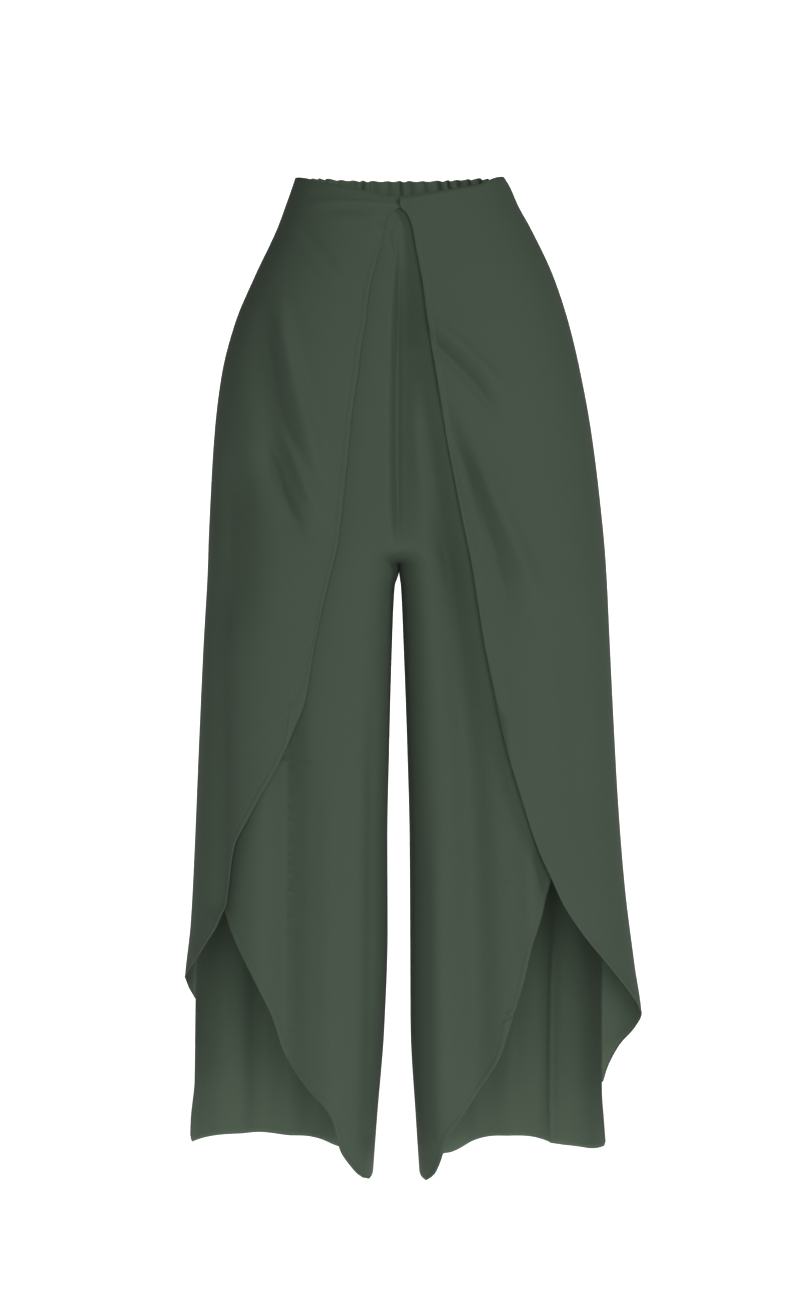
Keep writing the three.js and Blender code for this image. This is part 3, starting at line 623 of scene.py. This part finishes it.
# %% Overlays
OVERLAY_COLUMNS = 110
LEAST_ROOM, OVERLAY_FADE = 2.6, 1.2  # mm kept free above the under panel; places over which folds end
CROSSING_LIFT, CROSSING_X, CROSSING_Z = 2.4, 45, -90
CROSSING_FADE_X, CROSSING_FADE_Z = 30, 50
TUCKED_DEPTH, TUCKED_WIDTH, TUCKED_Z, TUCKED_FADE = 1.9, 16, -92, 34


def overlay(side):
    """Plain overlay surface moved along its normals by folds, creases and a rolled edge. Folds go no
    deeper than the room above the under panel. Towards the middle of the waist the left one is lifted
    and the right one's edge, with no roll there, is lowered."""
    name = f"overlay_{side}"
    edge = OVERLAY_EDGE[side]
    v = row_heights(SIDE_TOP, edge["z"][0])[:, None]
    edge_z = v + WAIST_DIP[side][0] * levelling(v)
    past = edge_z <= edge["z"][edge["past"] == 1].max()
    start = place_of("overlay", side, edge_z, follow(edge, "x", edge_z), past)

    def plain(place, lift=0):
        return front_grid("overlay", side, v + lift + 0 * place, place, drop=0)

    place, distance = along_cloth(plain, start, 3 + 0 * start, OVERLAY_COLUMNS, near_end=False)
    points = plain(place)
    x, z = SIGN[side] * points[..., 0], points[..., 2]
    room = np.maximum(follow(BODY, "lift", z) - LEAST_ROOM, 0)
    depth = np.minimum(fold_depth(FOLDS[name], x, z), room) * ease((3 - place) / OVERLAY_FADE)
    tucked_in = ease((z - TUCKED_Z) / TUCKED_FADE) if side == "right" else 0
    depth += fold_depth(CREASES[name], x, z) - rolled_edge(distance) * (1 - tucked_in)
    if side == "left":
        middle = ease((CROSSING_X - x) / CROSSING_FADE_X) * ease((z - CROSSING_Z) / CROSSING_FADE_Z)
        depth -= CROSSING_LIFT * middle
    else:
        depth += TUCKED_DEPTH * tucked_in * ease((TUCKED_WIDTH - distance) / TUCKED_WIDTH)
    points = points - plain_normals(plain, place, (-1, 3), SIGN[side]) * depth[..., None]
    return name, points, side == "right"


# %% [markdown]
# The backs are whole panels, gathered at the top. A gather is a wave along the waist, about one every
# 14 mm. Real gathers differ in pitch, height and length, so the wave's phase wanders by up to a
# quarter of a wave, its height varies, and each gather dies out at its own distance from the waist.

# %% Back panels
BACK_RISE, RISE_POWER, RISE_HALF, CASING_HEIGHT, HEM_Z = 10, 10, 113, 40, -1040
BACK_COLUMNS = 130
GATHERS, GATHER_DEPTH = 24, 1.6  # the number is for the whole back waist
WANDER, SHORT_WANDER, UNEVEN = 0.9, 0.5, 0.35
GATHER_END = -150
HEM_CURVE_Z, HEM_CURVE_FADE = -900, 140
BACK_HEM = named_columns(
    "place left right",
    [
        (0, -1058, -1057), (0.35, -1061, -1057), (0.6, -1060, -1054.5), (0.85, -1048, -1047),
        (1.05, -1042, -1041), (1.35, -1049, -1037.5), (1.6, -1050, -1037), (1.9, -1040, -1035),
        (2, -1031, -1024),
    ],
)


def rise(x):
    """How far the back waist edge lies above its ends: 1 - (x / half width)^10, so only near them is
    it lower."""
    return BACK_RISE * (1 - np.clip(np.abs(x) / RISE_HALF, 0, 1) ** RISE_POWER)


def gather_wave(share, side):
    """A cosine of the share of the half waist, with a wandering phase and height, dying at the seam."""
    turn = 0.0 if side == "left" else 1.7
    wander = WANDER * np.sin(5.3 * share * np.pi + turn)
    wander = wander + SHORT_WANDER * np.sin(11.7 * share * np.pi + 2 * turn)
    height = 1 + UNEVEN * np.sin(7.1 * share * np.pi + 1 + turn)
    wave = np.cos(np.pi * GATHERS * share + wander * ease(share / 0.1))
    return GATHER_DEPTH * height * wave * ease((0.99 - share) / 0.07)


def back_grid(side, v, place, hem):
    """x, y, z of the plain back, and the share of its length that lies between the middle and each
    point. z is v with the rise near the waist and the hem's curve added; x and y are the section's."""
    x0, _ = section("back", side, v + 0 * place, place)
    z = v + rise(x0) * levelling(v) + hem
    x, y = section("back", side, z, place)
    points = np.stack((SIGN[side] * x, y, z), axis=-1)
    length = length_along(points)
    return points, length / length[:, -1:]


def back_panel(side):
    """Plain back surface, moved along its normals by folds and creases, less the gathers' wave, which
    dies away between the casing and an uneven line below it."""
    name = f"back_panel_{side}"
    top = SIDE_TOP - CASING_HEIGHT
    v = row_heights(top, HEM_Z, extra=[CROTCH_Z])[:, None]
    place = 0 * v + np.linspace(0, 2, BACK_COLUMNS)[None, :]
    hem = follow(BACK_HEM, side, place, by="place") - HEM_Z
    points, share = back_grid(side, v, place, hem * ease((HEM_CURVE_Z - v) / HEM_CURVE_FADE))
    x, z = SIGN[side] * points[..., 0], points[..., 2]
    end = GATHER_END - 50 * np.sin(9 * share) - 30 * np.sin(23 * share + 1)
    wave = gather_wave(share, side) * ease((v - end) / (top - end))
    depth = fold_depth(FOLDS[name], x, z) * between_seams(place) + fold_depth(CREASES[name], x, z) - wave
    points = points - normals_of(points, -SIGN[side]) * depth[..., None]
    points[..., 0] = SIGN[side] * np.maximum(SIGN[side] * points[..., 0], 0)
    return name, points, side == "left"


# %% [markdown]
# The casing is a doubled band of the same cloth with elastic inside. It ruffles like the panel below
# it and is thicker, so it gets its own thickness. Its columns run from the right side seam round the
# back to the left one.

# %% Elastic casing
CASING_THICKNESS = 2.0
CASING_ROWS, CASING_COLUMNS = 24, 330
PINCH, RUFFLE = 0.25, 0.35


def waist_casing():
    """The back's section between the casing's two edges, moved out by the gather wave, which is
    flatter halfway up where the elastic fills the casing. Where it swells it also stands a little
    higher, so the top edge is ruffled."""
    halves = []
    for side in ("right", "left"):
        v = np.linspace(SIDE_TOP, SIDE_TOP - CASING_HEIGHT, CASING_ROWS)[:, None]
        place = 0 * v + np.linspace(0, 2, CASING_COLUMNS)[None, :]
        points, share = back_grid(side, v, place, hem=0)
        pinch = 1 - PINCH * (1 - np.cos(2 * np.pi * (v - SIDE_TOP) / CASING_HEIGHT))
        out = gather_wave(share, side) * pinch
        points = points + normals_of(points, -SIGN[side]) * out[..., None]
        points[..., 2] += RUFFLE * out
        points[:, 0, 0] = 0
        halves.append(points)
    whole = np.concatenate((halves[0][:, :0:-1], halves[1]), axis=1)
    return "back_waist_casing", whole, True


# %% [markdown]
# All the cloth is one matt crepe. Its colour is a dark green with a breath of grey, and its surface is
# pebbly: fine noise moves the light more than the colour. The inner wall gets a paler copy of that
# colour, which is painted light: it lifts the shade inside the legs and the casing. A little sheen
# lightens what is seen at a grazing angle, as the fuzz on cloth does.

# %% The cloth's look
CREPE = {
    "Roughness": 0.88,
    "Specular IOR Level": 0.15,
    "Sheen Weight": 0.05,
    "Sheen Roughness": 0.5,
    "Sheen Tint": (0.75, 0.85, 0.75, 1),
}
GRAIN_SCALE, GRAIN_DETAIL = 1400, 3  # noise cells in a metre of cloth, and octaves
GRAIN_TONES = [(0.3, 0.9), (0.7, 1.1)]  # where in the noise, and the colour's factor there
BUMP_STRENGTH, BUMP_METRES = 0.5, 0.0003


def material_of(name, values):
    """A material whose shader takes the given values at the inputs of those names."""
    material = bpy.data.materials.new(name)
    material.use_nodes = True
    shader = material.node_tree.nodes["Principled BSDF"]
    for entry, value in values.items():
        shader.inputs[entry].default_value = value
    return material, shader


def crepe(name, colour):
    """A rough, faintly sheeny surface. Noise on the UV map varies the colour and the bump."""
    material, shader = material_of(name, CREPE)
    nodes, links = material.node_tree.nodes, material.node_tree.links
    uv = nodes.new("ShaderNodeUVMap")
    uv.uv_map = "cloth_metres"
    grain = nodes.new("ShaderNodeTexNoise")
    grain.inputs["Scale"].default_value = GRAIN_SCALE
    grain.inputs["Detail"].default_value = GRAIN_DETAIL
    links.new(uv.outputs["UV"], grain.inputs["Vector"])
    tone = nodes.new("ShaderNodeValToRGB")
    for stop, (position, factor) in zip(tone.color_ramp.elements, GRAIN_TONES):
        stop.position = position
        stop.color = (*[c * factor for c in colour], 1)
    links.new(grain.outputs["Fac"], tone.inputs["Fac"])
    links.new(tone.outputs["Color"], shader.inputs["Base Color"])
    bump = nodes.new("ShaderNodeBump")
    bump.inputs["Strength"].default_value = BUMP_STRENGTH
    bump.inputs["Distance"].default_value = BUMP_METRES
    links.new(grain.outputs["Fac"], bump.inputs["Height"])
    links.new(bump.outputs["Normal"], shader.inputs["Normal"])
    return material


GREEN, INSIDE_PAINTED_LIGHT = (0.058, 0.082, 0.057), 1.25  # painted light: the inner wall's colour is paler by this factor, lifting the shade inside
green_crepe = crepe("green_crepe", GREEN)
green_crepe_painted_light = crepe("green_crepe_painted_light", [c * INSIDE_PAINTED_LIGHT for c in GREEN])
print("materials:", green_crepe.name, green_crepe_painted_light.name)

# %% [markdown]
# Each panel takes the place of the solid of its name and rides with the same body. Its first material
# faces outwards. The second goes to the inner wall, which Solidify adds.

# %% Make the pieces
panels = [make(side) for side in ("left", "right") for make in (front_panel, overlay, back_panel)]
for name, points, flip in [*panels, waist_casing()]:
    thickness = CASING_THICKNESS if name == "back_waist_casing" else CLOTH_THICKNESS
    piece = cloth_piece(name + "_cloth", points, flip, thickness)
    piece.data.materials.append(green_crepe)
    # the second, paler material is painted light on the inner wall, lifting the shade inside
    piece.data.materials.append(green_crepe_painted_light)
    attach(piece, "root")
    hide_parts(name)
    print(name, points.shape, "faces", len(piece.data.polygons))

# %% [markdown]

# %% [markdown]
# The light is that of a studio for clothes. A broad soft lamp behind the camera reaches into every
# hollow, a smaller one stands high on the right and lightens that side of every fold, and a weak one
# keeps the left flank from going dark.

# %% Light
WORLD_STRENGTH = 0.06
world = bpy.data.worlds.new("white_studio")
world.use_nodes = True
world.node_tree.nodes["Background"].inputs["Color"].default_value = (1, 1, 1, 1)
world.node_tree.nodes["Background"].inputs["Strength"].default_value = WORLD_STRENGTH
bpy.context.scene.world = world
bpy.context.scene.view_settings.view_transform = "Standard"


def soft_lamp(name, place, aim, size, watts):
    """A square area lamp at a place, turned so that it shines at a point."""
    data = bpy.data.lights.new(name, "AREA")
    data.size, data.energy = size, watts
    lamp = bpy.data.objects.new(name, data)
    dx, dy, dz = np.array(aim, float) - np.array(place, float)
    lamp.location = place
    tilt = math.atan2(math.hypot(dx, dy), -dz)
    lamp.rotation_euler = (tilt, 0, math.atan2(dy, dx) - math.pi / 2)
    bpy.context.scene.collection.objects.link(lamp)


LAMPS = [
    ("lamp_right", (2.4, -2.4, 1.6), (0, 0, -0.4), 0.9, 42),
    ("lamp_front", (0.3, -4.8, -0.2), (0, 0, -0.55), 2.2, 141),
    ("lamp_left", (-2.4, -2.8, 0.2), (0, 0, -0.5), 2.4, 7),
]
for name, place, aim, size, watts in LAMPS:
    soft_lamp(name, place, aim, size, watts)
print("lamps:", [name for name, *_ in LAMPS])

# %% [markdown]
# The floor is a glowing white sheet that curves up far behind, so that no edge of it shows. It lies
# well below the hems, because the garment hangs free.

# %% Floor
FLOOR_FRONT, FLOOR_Z, SWEEP_TOP = -1.0, -1.5, 2.0
SWEEP_RADIUS, SWEEP_BACK, SWEEP_HALF = 0.9, 4.9, 3.0
PAPER = {
    "Base Color": (0.9, 0.9, 0.9, 1),
    "Roughness": 0.9,
    "Emission Color": (1, 1, 1, 1),
    "Emission Strength": 0.93,
}
turn = np.linspace(0, math.pi / 2, 16)
bend_y = SWEEP_BACK + SWEEP_RADIUS * np.sin(turn)
bend_z = FLOOR_Z + SWEEP_RADIUS * (1 - np.cos(turn))
bend = list(zip(bend_y.tolist(), bend_z.tolist()))
profile = [(FLOOR_FRONT, FLOOR_Z), *bend, (SWEEP_BACK + SWEEP_RADIUS, SWEEP_TOP)]
floor_mesh = bpy.data.meshes.new("floor")
floor_mesh.from_pydata(
    [(x, y, z) for y, z in profile for x in (-SWEEP_HALF, SWEEP_HALF)],
    [],
    [(2 * i, 2 * i + 1, 2 * i + 3, 2 * i + 2) for i in range(len(profile) - 1)],
)
floor_mesh.shade_smooth()
floor = bpy.data.objects.new("floor", floor_mesh)
bpy.context.scene.collection.objects.link(floor)
floor_mesh.materials.append(material_of("white_paper", PAPER)[0])
print("floor, m below the waist:", -FLOOR_Z)
